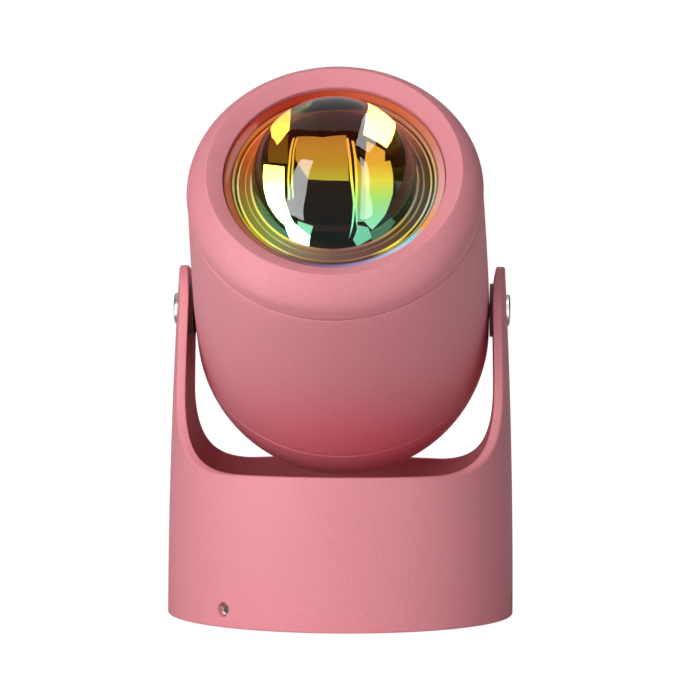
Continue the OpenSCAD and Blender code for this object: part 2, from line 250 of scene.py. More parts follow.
def finish(name, **sockets):
    """A new material, its nodes and its shader, with plain values set on the shader's own sockets."""
    mat = bpy.data.materials.new(name)
    mat.use_nodes = True
    shader = mat.node_tree.nodes["Principled BSDF"]
    for socket, value in sockets.items():
        shader.inputs[socket.replace("_", " ")].default_value = value
    return mat, mat.node_tree, shader


def node(tree, kind, inputs=(), **settings):
    """Adds a node, sets its fields, and links or sets its inputs by name or number."""
    made = tree.nodes.new(kind)
    for field, value in settings.items():
        setattr(made, field, value)
    for key, value in dict(inputs).items():
        if isinstance(value, bpy.types.NodeSocket):
            tree.links.new(value, made.inputs[key])
        else:
            made.inputs[key].default_value = value
    return made


def object_place(tree):
    """A point's place in the piece's own coordinates, in metres."""
    return node(tree, "ShaderNodeTexCoord").outputs["Object"]


def calc(tree, operation, *values):
    """What a maths node makes of numbers and sockets."""
    return node(tree, "ShaderNodeMath", enumerate(values), operation=operation).outputs["Value"]


def fade(tree, value, start, stop, low=0.0, high=1.0):
    """Goes from low to high as a value goes from start to stop, and stays there past either end."""
    ends = {"Value": value, "From Min": start, "From Max": stop, "To Min": low, "To Max": high}
    return node(tree, "ShaderNodeMapRange", ends).outputs["Result"]


def noise(tree, scale, detail, **more):
    """Clouds in the piece's own coordinates, of about 0.3 to 0.7."""
    inputs = {"Vector": object_place(tree), "Scale": scale, "Detail": detail, **more}
    return node(tree, "ShaderNodeTexNoise", inputs).outputs["Fac"]


def ramp(tree, fac, stops):
    """A colour ramp from (place, colour) stops."""
    made = node(tree, "ShaderNodeValToRGB", {"Fac": fac})
    e = made.color_ramp.elements
    while len(e) < len(stops):
        e.new(0.5)
    for el, (place, colour) in zip(e, stops):
        el.position = place
        el.color = (*colour, 1)
    return made.outputs["Color"]


def screen(*rgb):
    """Linear light from a colour in screen values of 0 to 255."""
    c = np.array(rgb) / 255
    return tuple(np.where(c <= 0.04045, c / 12.92, ((c + 0.055) / 1.055) ** 2.4).tolist())


def tones(*stops):
    """Ramp stops from (place, red, green, blue) with screen values."""
    return [(place, screen(*rgb)) for place, *rgb in stops]


def greys(*stops):
    """Ramp stops from (place, grey)."""
    return [(place, (grey, grey, grey)) for place, grey in stops]


def mix_colour(tree, fac, a, b, blend="MIX"):
    """One colour over another, by a factor."""
    made = node(tree, "ShaderNodeMix", {"Factor": fac, "A": a, "B": b}, data_type="RGBA", blend_type=blend)
    return next(out for out in made.outputs if out.type == "RGBA")


def raised(tree, shader, height, strength, distance):
    """Lets a height pattern bend the surface's light."""
    made = node(tree, "ShaderNodeBump", {"Height": height, "Strength": strength, "Distance": distance})
    tree.links.new(made.outputs["Normal"], shader.inputs["Normal"])


def powder_coat():
    """Pink powder coat: a fine orange-peel grain, a faint mottle and a soft satin sheen."""
    mat, tree, shader = finish("powder_coat_pink", Specular_IOR_Level=0.25)
    grain = noise(tree, 4800.0, 2.0, Roughness=0.6)
    peel = noise(tree, 2800.0, 1.0)
    mottle = noise(tree, 3000.0, 3.0)
    tone = ramp(tree, mottle, [(0.3, (0.745, 0.263, 0.304)), (0.7, (0.825, 0.298, 0.343))])
    tree.links.new(tone, shader.inputs["Base Color"])
    tree.links.new(fade(tree, grain, 0.0, 1.0, 0.52, 0.7), shader.inputs["Roughness"])
    raised(tree, shader, calc(tree, "ADD", grain, peel), 0.3, 0.00004)
    return mat


def brushed_metal(name, colour, roughness, streak=300.0):
    """A metal with fine wear in its polish."""
    mat, tree, shader = finish(name, Metallic=1.0, Base_Color=(*colour, 1))
    wear = fade(tree, noise(tree, streak, 4.0), 0.0, 1.0, roughness * 0.7, roughness * 1.4)
    tree.links.new(wear, shader.inputs["Roughness"])
    return mat


def matt_plastic(name, colour, roughness):
    """Moulded plastic or rubber with a fine eroded grain."""
    mat, tree, shader = finish(name, Roughness=roughness)
    grain = noise(tree, 700.0, 3.0)
    c = np.array(colour)
    tree.links.new(ramp(tree, grain, [(0.0, c * 0.85), (1.0, c * 1.15)]), shader.inputs["Base Color"])
    raised(tree, shader, grain, 0.25, 0.00005)
    return mat


def lens_glass():
    """Clear optical glass, with faint streaks of the melt in its tint."""
    mat, tree, shader = finish("lens_glass", Roughness=0.0, IOR=1.5, Transmission_Weight=1.0,
                               Specular_IOR_Level=0.4)
    tint = ramp(tree, noise(tree, 60.0, 1.0), [(0.3, (0.985, 0.99, 0.985)), (0.7, (1.0, 1.0, 1.0))])
    tree.links.new(tint, shader.inputs["Base Color"])
    return mat


def dot(tree, vector, axis):
    """How far a vector reaches along an axis."""
    made = node(tree, "ShaderNodeVectorMath", {0: vector, 1: tuple(axis)}, operation="DOT_PRODUCT")
    return made.outputs["Value"]


def across_lens(tree):
    """Where a point lies on the lens, in millimetres from its axis: upwards, sideways and in all."""
    mid = (PIVOT + AHEAD * LENS_BACK) * MM
    off = node(tree, "ShaderNodeVectorMath", {0: object_place(tree), 1: tuple(mid)}, operation="SUBTRACT")
    off = node(tree, "ShaderNodeVectorMath", {0: off.outputs["Vector"], "Scale": 1 / MM}, operation="SCALE")
    rise, side = (dot(tree, off.outputs["Vector"], axis) for axis in (CROWN, SIDE))
    flat = node(tree, "ShaderNodeCombineXYZ", {0: rise, 1: side}).outputs["Vector"]
    far = node(tree, "ShaderNodeVectorMath", {0: flat}, operation="LENGTH").outputs["Value"]
    return rise, side, far


def rainbow_coating():
    """The vapour-deposited coating on the lens's flat back: a mirror whose colour runs downwards from
    orange through yellow and green to teal."""
    mat, tree, shader = finish("rainbow_coating", Metallic=1.0, Roughness=0.02)
    rise, _, _ = across_lens(tree)
    mirror = ramp(tree, fade(tree, rise, -FLANGE_R / 2, FLANGE_R / 2), [
        (0.0, (0.22, 0.85, 0.55)), (0.23, (0.24, 0.82, 0.50)), (0.37, (0.27, 0.76, 0.34)),
        (0.5, (0.42, 0.78, 0.14)), (0.6, (0.82, 0.70, 0.06)), (0.7, (0.82, 0.42, 0.035)),
        (0.83, (0.80, 0.31, 0.04)), (1.0, (0.80, 0.28, 0.05))])
    tree.links.new(mirror, shader.inputs["Base Color"])
    return mat


def by_radius(tree, far, *stops):
    """A grey that follows (radius in millimetres, grey) stops outwards over the flange."""
    inside, outside = 15, 25
    places = [((r - inside) / (outside - inside), grey) for r, grey in stops]
    return ramp(tree, fade(tree, far, inside, outside), greys(*places))


def flange_painted_reflections():
    """The coating on the flange's moulded rings under a clear face, with its reflections painted into the
    colour: amber on the left, olive on the right, painted highlights on the ridges and low on either side,
    painted shade in dark bands, and a rim from red to lavender painted with the light and shade of the pink
    wall seen through it, lit on the right and shaded on the left, and with painted reflections low on the
    right. Its ramps go round the flange, from 0 at the bottom to the left, the top and the right."""
    mat, tree, shader = finish("flange_painted_reflections", Roughness=0.3, Specular_IOR_Level=0.2, Coat_Weight=0.25,
                               Coat_Roughness=0.03)
    rise, side, far = across_lens(tree)
    turn = fade(tree, calc(tree, "ARCTAN2", side, rise), -math.pi, math.pi)
    # painted reflections of the coating, amber on the left and olive on the right
    rings = ramp(tree, turn, tones(
        (0.0, 115, 85, 75), (0.06, 130, 115, 85), (0.12, 125, 145, 75), (0.18, 130, 130, 40),
        (0.24, 150, 92, 25), (0.29, 170, 78, 15), (0.35, 210, 95, 45), (0.45, 130, 80, 75),
        (0.62, 205, 110, 80), (0.7, 96, 62, 42), (0.78, 82, 68, 34), (0.85, 84, 68, 40),
        (0.93, 104, 72, 58), (1.0, 115, 85, 75)))
    # painted highlights on the ridges, pale and coloured round the flange
    ridges = ramp(tree, turn, tones(
        (0.0, 150, 100, 90), (0.06, 190, 150, 80), (0.1, 255, 250, 90), (0.17, 250, 250, 130),
        (0.24, 215, 225, 155), (0.3, 235, 140, 50), (0.36, 250, 150, 60), (0.5, 190, 110, 100),
        (0.66, 225, 160, 120), (0.74, 245, 215, 130), (0.8, 210, 235, 215), (0.86, 250, 235, 90),
        (0.93, 185, 135, 120), (1.0, 150, 100, 90)))
    # the rim: the pink wall seen through it painted lit on the right and shaded on the left, with painted
    # reflections low on the right
    rim = ramp(tree, turn, tones(
        (0.0, 150, 125, 175), (0.05, 150, 95, 110), (0.11, 175, 105, 85), (0.2, 190, 105, 60),
        (0.28, 160, 70, 40), (0.34, 180, 58, 35), (0.44, 175, 52, 28), (0.52, 200, 78, 40),
        (0.6, 215, 98, 50), (0.67, 220, 135, 105), (0.74, 230, 165, 160), (0.8, 230, 175, 155),
        (0.84, 250, 165, 80), (0.87, 140, 225, 240), (0.9, 205, 220, 250), (0.95, 165, 165, 220),
        (1.0, 150, 125, 175)))
    # the ridges' radii, where the painted highlights go
    peaks = by_radius(tree, far, (15.9, 1), (16.1, 0), (16.7, 0), (16.9, 0.5), (17.1, 0), (18.15, 0),
                      (18.25, 1), (18.45, 1), (18.6, 0), (18.95, 0), (19.05, 1), (19.3, 1), (19.45, 0))
    flange = mix_colour(tree, peaks, rings, ridges)
    # painted yellow highlights, crescents low on either side
    sides = ramp(tree, turn, greys((0.09, 0), (0.125, 1), (0.155, 1), (0.19, 0),
                                   (0.86, 0), (0.885, 1), (0.905, 1), (0.935, 0)))
    band = by_radius(tree, far, (18.2, 0), (18.4, 1), (19.3, 1), (19.4, 0))
    crescent_highlights = mix_colour(tree, 1.0, sides, band, "MULTIPLY")
    flange = mix_colour(tree, crescent_highlights, flange, (*screen(252, 236, 70), 1))
    flange = mix_colour(tree, fade(tree, far, 19.4, 19.6), flange, rim)
    # painted shade: dark bands in the groove at 18.8 mm, at 19.5 to 19.8 mm and at the outer edge
    shade_bands = by_radius(tree, far, (18.55, 1), (18.7, 0.35), (18.9, 0.35), (19.0, 1), (19.4, 1), (19.5, 0.4),
                        (19.65, 0.5), (19.8, 1), (20.8, 1), (21.0, 0.7))
    flange = mix_colour(tree, 1.0, flange, shade_bands, "MULTIPLY")
    tree.links.new(flange, shader.inputs["Base Color"])
    return mat


COAT = powder_coat()
SCREW_STEEL = brushed_metal("screw_steel", (0.72, 0.69, 0.62), 0.36, 900.0)
DARK_STEEL = brushed_metal("dark_steel", (0.60, 0.55, 0.55), 0.5, 900.0)
BALLAST_STEEL = brushed_metal("ballast_steel", (0.55, 0.55, 0.56), 0.35)
ALUMINIUM = brushed_metal("bare_aluminium", (0.75, 0.76, 0.78), 0.35)
BRASS = brushed_metal("insert_brass", (0.80, 0.60, 0.28), 0.3)
WASHER_RUBBER = matt_plastic("washer_rubber", (0.14, 0.082, 0.083), 0.5)
PAD_RUBBER = matt_plastic("pad_rubber", (0.02, 0.02, 0.02), 0.8)
GLAND_RUBBER = matt_plastic("gland_rubber", (0.018, 0.018, 0.018), 0.6)
GASKET_RUBBER = matt_plastic("gasket_rubber", (0.015, 0.015, 0.015), 0.6)
BLACK_PLASTIC = matt_plastic("black_plastic", (0.012, 0.011, 0.011), 0.5)
HEAT_PAD = matt_plastic("heat_pad", (0.35, 0.40, 0.55), 0.7)
LAMP_BOARD = matt_plastic("lamp_board", (0.80, 0.80, 0.77), 0.45)
LAMP_CHIP = matt_plastic("lamp_chip", (0.85, 0.70, 0.12), 0.3)
DRIVER_BOARD = matt_plastic("driver_board", (0.02, 0.14, 0.06), 0.4)
DRIVER_PARTS = matt_plastic("driver_parts", (0.03, 0.03, 0.035), 0.4)
LEADS = matt_plastic("lead_sheath", (0.5, 0.02, 0.02), 0.45)
GLASS = lens_glass()
RAINBOW = rainbow_coating()
FLANGE = flange_painted_reflections()

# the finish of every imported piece
for name, mat in {
    "yoke_sleeve": COAT, "main_body": COAT, "rear_dome": COAT, "front_cap": COAT,
    "ballast_disc": BALLAST_STEEL, "base_pad": PAD_RUBBER, "set_screws": DARK_STEEL,
    "friction_washer_left": WASHER_RUBBER, "friction_washer_right": WASHER_RUBBER,
    "lens": GLASS, "lens_gasket": GASKET_RUBBER, "filter_glass": RAINBOW, "lens_barrel": BLACK_PLASTIC,
    "heat_sink": ALUMINIUM, "heat_pad": HEAT_PAD, "lamp_board": LAMP_BOARD, "lamp_chip": LAMP_CHIP,
    "board_screws": SCREW_STEEL, "driver_board": DRIVER_BOARD, "driver_parts": DRIVER_PARTS,
    "lead_wires": LEADS, "pivot_insert_left": BRASS, "pivot_insert_right": BRASS,
    "pivot_screw_left": SCREW_STEEL, "pivot_screw_right": SCREW_STEEL, "cable_gland": GLAND_RUBBER,
}.items():
    obj = frame["nodes"][name]
    obj.data.materials.clear()
    obj.data.materials.append(mat)


# ------------------------------------------------------------------ sleeve

def sleeve_r(z):
    """Outer radius at a height: a draft that grows with the square of the height."""
    return FOOT_R - EAR_LEAN * (z / PIVOT_H) ** 2


def cut_line():
    """The sleeve's cut seen from the side, from an ear's top down its flank and through the fillet to
    the rim: a circle's arc, the inner tangent of two circles and the other circle's arc. Returns y, z
    and the inward normal of each point for y >= 0."""
    fillet_y, fillet_z = EAR_HALF_W + RIM_FILLET, RIM_H + RIM_FILLET
    drop = PIVOT_H - fillet_z
    lean = math.acos((EAR_R + RIM_FILLET) / math.hypot(fillet_y, drop)) - math.atan2(drop, fillet_y)
    a = np.linspace(math.pi / 2, lean, 26)
    top = np.stack([EAR_R * np.cos(a), PIVOT_H + EAR_R * np.sin(a), -np.cos(a), -np.sin(a)], 1)
    b = np.linspace(lean, math.pi / 2, 34)
    fillet = np.stack([fillet_y - RIM_FILLET * np.cos(b), fillet_z - RIM_FILLET * np.sin(b),
                       -np.cos(b), -np.sin(b)], 1)
    w = np.linspace(0, 1, 14)[1:-1, None]
    flank = top[-1] * (1 - w) + fillet[0] * w
    return np.concatenate([top, flank, fillet])


def sleeve():
    """A band closed round the sleeve. Each column runs up the outer wall on one meridian to the cut,
    over the cut and down the inner wall; the cut keeps its height straight through the wall, and all
    four edges are blends corner + (a - corner)(1 - sin t) + (b - corner)(1 - cos t)."""
    # columns: by the cut line from an ear's top to the fillet's end, then along the flat rim
    y, z, ny, nz = cut_line().T
    rim_steps = 26

    def edge(inset_line, inset_wall):
        """Angle, height and radius of the cut line moved into the material by one amount, on a wall
        that is moved inwards by another; the flat rim goes on from there by equal angles."""
        oy, oz = y + ny * inset_line, z + nz * inset_line
        radius = sleeve_r(oz) - inset_wall
        ang = np.arcsin(oy / radius)
        rest = np.linspace(0, 1, rim_steps)[1:]
        ang = np.concatenate([ang, ang[-1] + (math.pi / 2 - ang[-1]) * rest])
        oz = np.concatenate([oz, np.full(rim_steps - 1, oz[-1])])
        radius = np.concatenate([radius, np.full(rim_steps - 1, radius[-1])])
        return ang, oz, radius

    def point(ang, height, radius):
        """The place of an angle from the right towards the back, a height and a radius."""
        return np.stack([radius * np.cos(ang), radius * np.sin(ang), height], -1)

    def wall(inset, ang, top, rows):
        """One face of the wall, with rows from the foot's edge up to the cut's."""
        low = FOOT_LIFT + EDGE_ROUND
        h = low + (top[None] - low) * rows[:, None]
        return point(np.broadcast_to(ang, h.shape), h, sleeve_r(h) - inset)

    def foot(ang, inset):
        """The foot's lowest edge, sharp."""
        return point(ang, np.full_like(ang, FOOT_LIFT), sleeve_r(FOOT_LIFT) - inset)

    def blend(corner, a, b, steps=6):
        """The rounded edge from a to b."""
        t = np.linspace(0, math.pi / 2, steps + 1)[:, None, None]
        return corner + (a - corner) * (1 - np.sin(t)) + (b - corner) * (1 - np.cos(t))

    rows = 1 - (1 - np.linspace(0, 1, 30)) ** 1.3
    outer_ang, outer_top, _ = edge(EDGE_ROUND, 0)
    inner_ang, inner_top, _ = edge(EDGE_ROUND, WALL)
    outer = wall(0, outer_ang, outer_top, rows)
    inner = wall(WALL, inner_ang, inner_top, rows)
    out_corner, in_corner = point(*edge(0, 0)), point(*edge(0, WALL))
    across = (in_corner - out_corner) * EDGE_ROUND / WALL
    top_out = blend(out_corner, outer[-1], out_corner + across)
    top_in = blend(in_corner, in_corner - across, inner[-1])
    foot_out, foot_in = foot(outer_ang, 0), foot(inner_ang, WALL)
    flat = (foot_in - foot_out) * EDGE_ROUND / WALL
    low_in = blend(foot_in, inner[0], foot_in - flat)
    low_out = blend(foot_out, foot_out + flat, outer[0])
    back_right = np.concatenate([outer[:-1], top_out, top_in, inner[::-1][1:-1], low_in, low_out[:-1]])
    # mirror the quarter into the full circle
    front_right = back_right[:, ::-1] * [1, -1, 1]
    right = np.concatenate([front_right[:, :-1], back_right], 1)
    left = right[:, ::-1] * [-1, 1, 1]
    ring = np.concatenate([right[:, :-1], left[:, :-1]], 1)
    rows_n, cols_n = ring.shape[:2]
    faces = grid_faces(rows_n, cols_n, True, True)
    return ring.reshape(-1, 3), faces[:, ::-1].tolist()


def drilled(obj, drills):
    """Cuts turned shapes out of a piece and keeps the result as its mesh."""
    bits = []
    for number, (outline, place) in enumerate(drills):
        verts, faces = turned(outline, place, 64)
        bit = piece(f"drill_{number}", verts, faces, None, COAT)
        cut = obj.modifiers.new(bit.name, "BOOLEAN")
        cut.operation, cut.solver, cut.object = "DIFFERENCE", "EXACT", bit
        bits.append(bit)
    bpy.context.view_layer.update()
    mesh = bpy.data.meshes.new_from_object(obj.evaluated_get(bpy.context.evaluated_depsgraph_get()))
    obj.modifiers.clear()
    obj.data = mesh
    for bit in bits:
        bpy.data.objects.remove(bit)
    mesh.polygons.foreach_set("use_smooth", np.ones(len(mesh.polygons), bool))
    mesh.set_sharp_from_angle(angle=math.radians(32))


def pivot_place(side):
    """The tilt axis seen from outside, on the right for 1 and on the left for -1."""
    return PIVOT, BACKWARD, UP * side, SIDE * side


def screw_place(angle):
    """A set screw's axis, outwards from the sleeve's middle at the set screws' height."""
    a = math.radians(angle)
    out = np.array([math.sin(a), -math.cos(a), 0])
    return UP * SET_H, np.array([math.cos(a), math.sin(a), 0]), UP, out


# holes cut through the sleeve: one in each ear with a spot face outside, and three in the foot
pivot_r, grub_r = SCREW_R + HOLE_ROOM, GRUB_R + HOLE_ROOM
ear_hole = [[0, EAR_INSIDE], [pivot_r, EAR_INSIDE], [pivot_r, SEAT_X], [SEAT_R, SEAT_X], [SEAT_R, SEAT_FLARE],
            [SEAT_R + 0.4, EAR_OUTSIDE], [0, EAR_OUTSIDE]]
foot_hole = [[0, FOOT_R - 3], [grub_r, FOOT_R - 3], [grub_r, FOOT_R - 0.2], [grub_r + 0.2, FOOT_R + 0.2],
             [0, FOOT_R + 0.2]]
verts, faces = sleeve()
shell = piece("sleeve_shell", verts, faces, "yoke", COAT, ("yoke_sleeve",))
ear_drills = [(ear_hole, pivot_place(side)) for side in (-1, 1)]
foot_drills = [(foot_hole, screw_place(angle)) for angle in SET_ANGLES]
drilled(shell, ear_drills + foot_drills)

# ------------------------------------------------------------------ fasteners

# pan head screws on the tilt axis: a shank, a head with a rolled edge and a cross recess
recess = 0.62 * SCREW_HEAD_R
edge_r = 0.4
under_head, head_top = SEAT_X + 0.05, SEAT_X + SCREW_HEAD_H
corners = np.concatenate([
    [[0, SCREW_END], [SCREW_R - edge_r, SCREW_END], [SCREW_R, SCREW_END + edge_r], [SCREW_R, under_head],
     [SCREW_HEAD_R, under_head]],
    arc(SCREW_HEAD_R - edge_r, SEAT_X + 0.55, edge_r, 0, 68, 8),
    [[2.4, head_top - 0.03], [recess + 0.1, head_top], [recess, head_top - 0.02],
     [recess * 0.8, head_top - 0.7], [0, head_top - 0.8]]])
rows = len(corners)
for name, side in (("left", -1), ("right", 1)):
    verts, faces = turned(corners, pivot_place(side), 192, cross, (rows - 3, rows - 2))
    stands_for = (f"pivot_screw_{name}",)
    piece(f"pan_head_screw_{name}", verts, faces, "head", SCREW_STEEL, stands_for, crisp=30)

# grub screws in the foot: a chamfered pin with a hexagon socket
grub_in = GRUB_OUT - GRUB_LEN
corners = [[0, grub_in], [GRUB_R - 0.5, grub_in], [GRUB_R, grub_in + 0.5], [GRUB_R, GRUB_OUT - 0.2],
           [GRUB_R - 0.2, GRUB_OUT], [SOCKET_R + 0.11, GRUB_OUT], [SOCKET_R, GRUB_OUT - 0.1],
           [SOCKET_R, GRUB_OUT - 1.5], [0, GRUB_OUT - 1.8]]
for number, angle in enumerate(SET_ANGLES):
    verts, faces = turned(corners, screw_place(angle), 96, hexagon, (6, 7))
    stands_for = ("set_screws",) if number == 0 else ()
    piece(f"grub_screw_{number + 1}", verts, faces, "yoke", DARK_STEEL, stands_for, crisp=30)

# cable gland: a grommet with two flanges round the rear dome's hole
inside, outside = DOME_POLE - GLAND_FLANGE, DOME_POLE + DOME_WALL + GLAND_FLANGE
corners = [[GLAND_BORE, inside], [GLAND_R, inside], [GLAND_R, DOME_POLE], [GLAND_NECK, DOME_POLE],
           [GLAND_NECK, DOME_POLE + DOME_WALL], [GLAND_R, DOME_POLE + DOME_WALL], [GLAND_R, outside],
           [GLAND_BORE, outside]]
verts, faces = turned(softened(corners, [0.35, 0.5, 0.15, 0.02, 0.02, 0.15, 0.5, 0.35]), HEAD, 96)
piece("dome_grommet", verts, faces, "head", GLAND_RUBBER, ("cable_gland",), crisp=35)

# ------------------------------------------------------------------ head shells

def body_r(t):
    """The main body's outer radius: full behind the pivots, then drawn in to the nose, slowly at first."""
    return HEAD_R - (HEAD_R - NOSE_R) * (np.maximum(t, 0) / BODY_FRONT) ** 1.25


def head_shell(name, corners, rounds, stands_for):
    """A coated shell turned about the head's axis; rounds gives the rounding of a corner by number."""
    radii = np.zeros(len(corners))
    radii[list(rounds)] = list(rounds.values())
    verts, faces = turned(softened(corners, radii), HEAD)
    piece(name, verts, faces, "head", COAT, (stands_for,), crisp=35)


# main body: from the dome's seam forward to the cap's, and back along the bore and the thick ring
dome_lip = [math.sqrt(HEAD_R ** 2 - (DOME_MID - DOME_SEAM) ** 2), DOME_SEAM + SEAM_GAP]
t = np.linspace(0, BODY_FRONT, 12)
flank = np.stack([body_r(t), t], 1)
flank[-1, 1] -= SEAM_GAP
corners = np.concatenate([
    [dome_lip, [HEAD_R, DOME_MID]], flank,
    [[BODY_BORE, BODY_FRONT - SEAM_GAP], [BODY_BORE, WEB_FRONT], [WEB_BORE, WEB_FRONT], [WEB_BORE, WEB_BACK],
     [BODY_BORE, WEB_BACK], [BODY_BORE, DOME_SEAM + SEAM_GAP]]])
head_shell("main_body_shell", corners, {0: SEAM_ROUND, len(flank) + 1: 0.3}, "main_body")

# rear dome
pole_a = math.degrees(math.asin((DOME_POLE - DOME_MID) / HEAD_R))
seam_a = math.degrees(math.asin((DOME_SEAM - DOME_MID) / HEAD_R))
outer = arc(0, DOME_MID, HEAD_R, seam_a, pole_a, 40)
inner = arc(0, DOME_MID, HEAD_R - DOME_WALL, pole_a + 0.6, seam_a - 1, 24)
corners = np.concatenate([
    outer, [[GLAND_NECK, DOME_POLE], [GLAND_NECK, DOME_POLE + DOME_WALL]], inner[1:],
    [[SKIRT_BORE, DOME_SEAM - 2.5], [SKIRT_BORE, SKIRT_END], [SLIP_R, SKIRT_END], [SLIP_R, DOME_SEAM]]])
head_shell("rear_dome_shell", corners, {0: SEAM_ROUND}, "rear_dome")

# front cap: its edge is a parabola, straight ahead at the bend and falling in towards the crest, and
# it is rounded at the seam's lip, at the crest and at the opening
w = np.linspace(0, 1, 22)
edge = np.stack([NOSE_R - (NOSE_R - CAP_CREST_R) * w ** 2, CAP_BEND + (CAP_CREST - CAP_BEND) * w], 1)
corners = np.concatenate([
    [[NOSE_R, BODY_FRONT]], edge,
    [[OPENING_R, OPENING_T], [OPENING_R, LENS_SEAT], [POCKET_R, LENS_SEAT], [POCKET_R, BODY_FRONT - 0.6],
     [SPIGOT_BORE, BODY_FRONT - 0.6], [SPIGOT_BORE, BODY_FRONT - SPIGOT_LEN],
     [SLIP_R, BODY_FRONT - SPIGOT_LEN], [SLIP_R, BODY_FRONT]]])
head_shell("front_cap_shell", corners, {0: 0.45, len(edge): 0.3, len(edge) + 1: 0.25}, "front_cap")

# ------------------------------------------------------------------ lens

# glass: the flange with its bed for the rings, and the ball's front, as (radius, length, rounding)
back = LENS_BACK + 0.06
foot = np.array([[0, back, 0], [FLANGE_R, back, 0.2], [FLANGE_R, LENS_SEAT, 0.2], [OPENING_R, LENS_SEAT, 0],
                 [OPENING_R, RING_BED, 0], [BALL_R, RING_BED, 0]])
ball = arc(0, BALL_T, BALL_R, 0, 90, 48)
outline = softened(np.concatenate([foot[:, :2], ball]), np.concatenate([foot[:, 2], np.zeros(len(ball))]))
verts, faces = turned(outline, HEAD, 256)
piece("lens_body", verts, faces, "head", GLASS, ("lens",), crisp=25)

# the flange's rings in front: a fillet at the ball's foot, two ridges, a groove and a sloping rim,
# as (radius, height above the flange's face, rounding)
bed, rim_top = RING_BED + 0.02 - LENS_SEAT, OPENING_T - LENS_SEAT - 0.65
rings = np.array([
    [BALL_R + 0.03, bed, 0], [BALL_R + 0.03, 0.45, 0], [15.95, 0.08, 0.2], [16.6, 0, 0.1], [16.9, 0.14, 0.2],
    [17.2, 0, 0.1], [18.05, 0, 0.1], [18.35, 0.25, 0.2], [18.65, 0, 0.1], [18.85, -0.1, 0.1],
    [19.0, 0.1, 0.1], [19.2, 0.5, 0.1], [19.5, 0.75, 0.2], [20.85, rim_top, 0.2],
    [21.05, rim_top - 0.15, 0.1], [21.05, bed, 0]])
verts, faces = turned(softened(rings[:, :2] + [0, LENS_SEAT], rings[:, 2], 4), HEAD, 256)
piece("lens_flange_rings", verts, faces, "head", FLANGE, (), crisp=40)

# the coated back: a thin disc just inside the glass
coat_r, coat_back, coat_front = FLANGE_R - 0.15, LENS_BACK + 0.1, LENS_BACK + 0.14
verts, faces = turned([[0, coat_back], [coat_r, coat_back], [coat_r, coat_front], [0, coat_front]], HEAD)
piece("lens_back_coating", verts, faces, "head", RAINBOW, (), crisp=30)

# ------------------------------------------------------------------ camera, light and floor

def camera():
    """Looks at the lamp from the front: it stands on a circle round the upright axis, turned by yaw,
    and is then panned, pitched and rolled by small angles in radians."""
    distance, height = 544.95 * MM, 65.7 * MM
    yaw, pitch, roll, pan = 0.0435, -0.0186, 0.0058, -0.0007
    cam = bpy.data.objects.new("camera", bpy.data.cameras.new("camera"))
    bpy.context.scene.collection.objects.link(cam)
    cam.data.sensor_width = 36
    cam.data.lens = 141.97
    cam.data.clip_start = 0.05
    ahead = np.array([math.sin(pan) * math.cos(pitch), math.cos(pan) * math.cos(pitch), math.sin(pitch)])
    level = np.array([math.cos(pan), -math.sin(pan), 0])
    upright = np.cross(level, ahead)
    right = level * math.cos(roll) + upright * math.sin(roll)
    up = -level * math.sin(roll) + upright * math.cos(roll)
    axes = Matrix(np.stack([right, up, -ahead], 1).tolist())
    place = (Matrix.Rotation(yaw, 3, "Z") @ axes).to_4x4()
    place.translation = (distance * math.sin(yaw), -distance * math.cos(yaw), height)
    cam.matrix_world = place
    bpy.context.scene.camera = cam


def direction(azimuth, elevation):
    """A unit vector from an azimuth, 0 in front and 90 on the right, and an elevation, in degrees."""
    az, el = math.radians(azimuth), math.radians(elevation)
    return np.array([math.sin(az) * math.cos(el), -math.cos(az) * math.cos(el), math.sin(el)])


def area_lamp(name, width, height, power):
    """A rectangular light that falls on surfaces but doesn't show in them."""
    light = bpy.data.lights.new(name, "AREA")
    light.shape = "RECTANGLE"
    light.size, light.size_y = width, height
    light.energy = power
    obj = bpy.data.objects.new(name, light)
    bpy.context.scene.collection.objects.link(obj)
    obj.visible_camera = obj.visible_glossy = obj.visible_transmission = False
    return obj


def softbox(name, azimuth, elevation, distance, width, height, power):
    """A large light, in metres and watts, that faces the lamp's middle."""
    obj = area_lamp(name, width, height, power)
    away = direction(azimuth, elevation)
    obj.location = Vector((away * distance).tolist()) + Vector((0, 0, 0.05))
    obj.rotation_mode = "QUATERNION"
    obj.rotation_quaternion = Vector(away.tolist()).to_track_quat("Z", "Y")


def cup_glow(angle):
    """The deep pink light that bounces up out of the sleeve's cup on to the head: a small light inside
    the front rim that faces up and back, too narrow in its spread to reach the cup's far wall."""
    obj = area_lamp("cup_glow", 0.014, 0.008, 0.0002)
    obj.data.spread = math.radians(95)
    obj.data.color = (1, 0.04, 0.2)
    radius, height, lean = 0.027, 0.018, math.radians(26)
    turn = math.radians(angle)
    obj.location = (radius * math.sin(turn), -radius * math.cos(turn), height)
    obj.rotation_euler = (math.pi - lean, 0, turn)


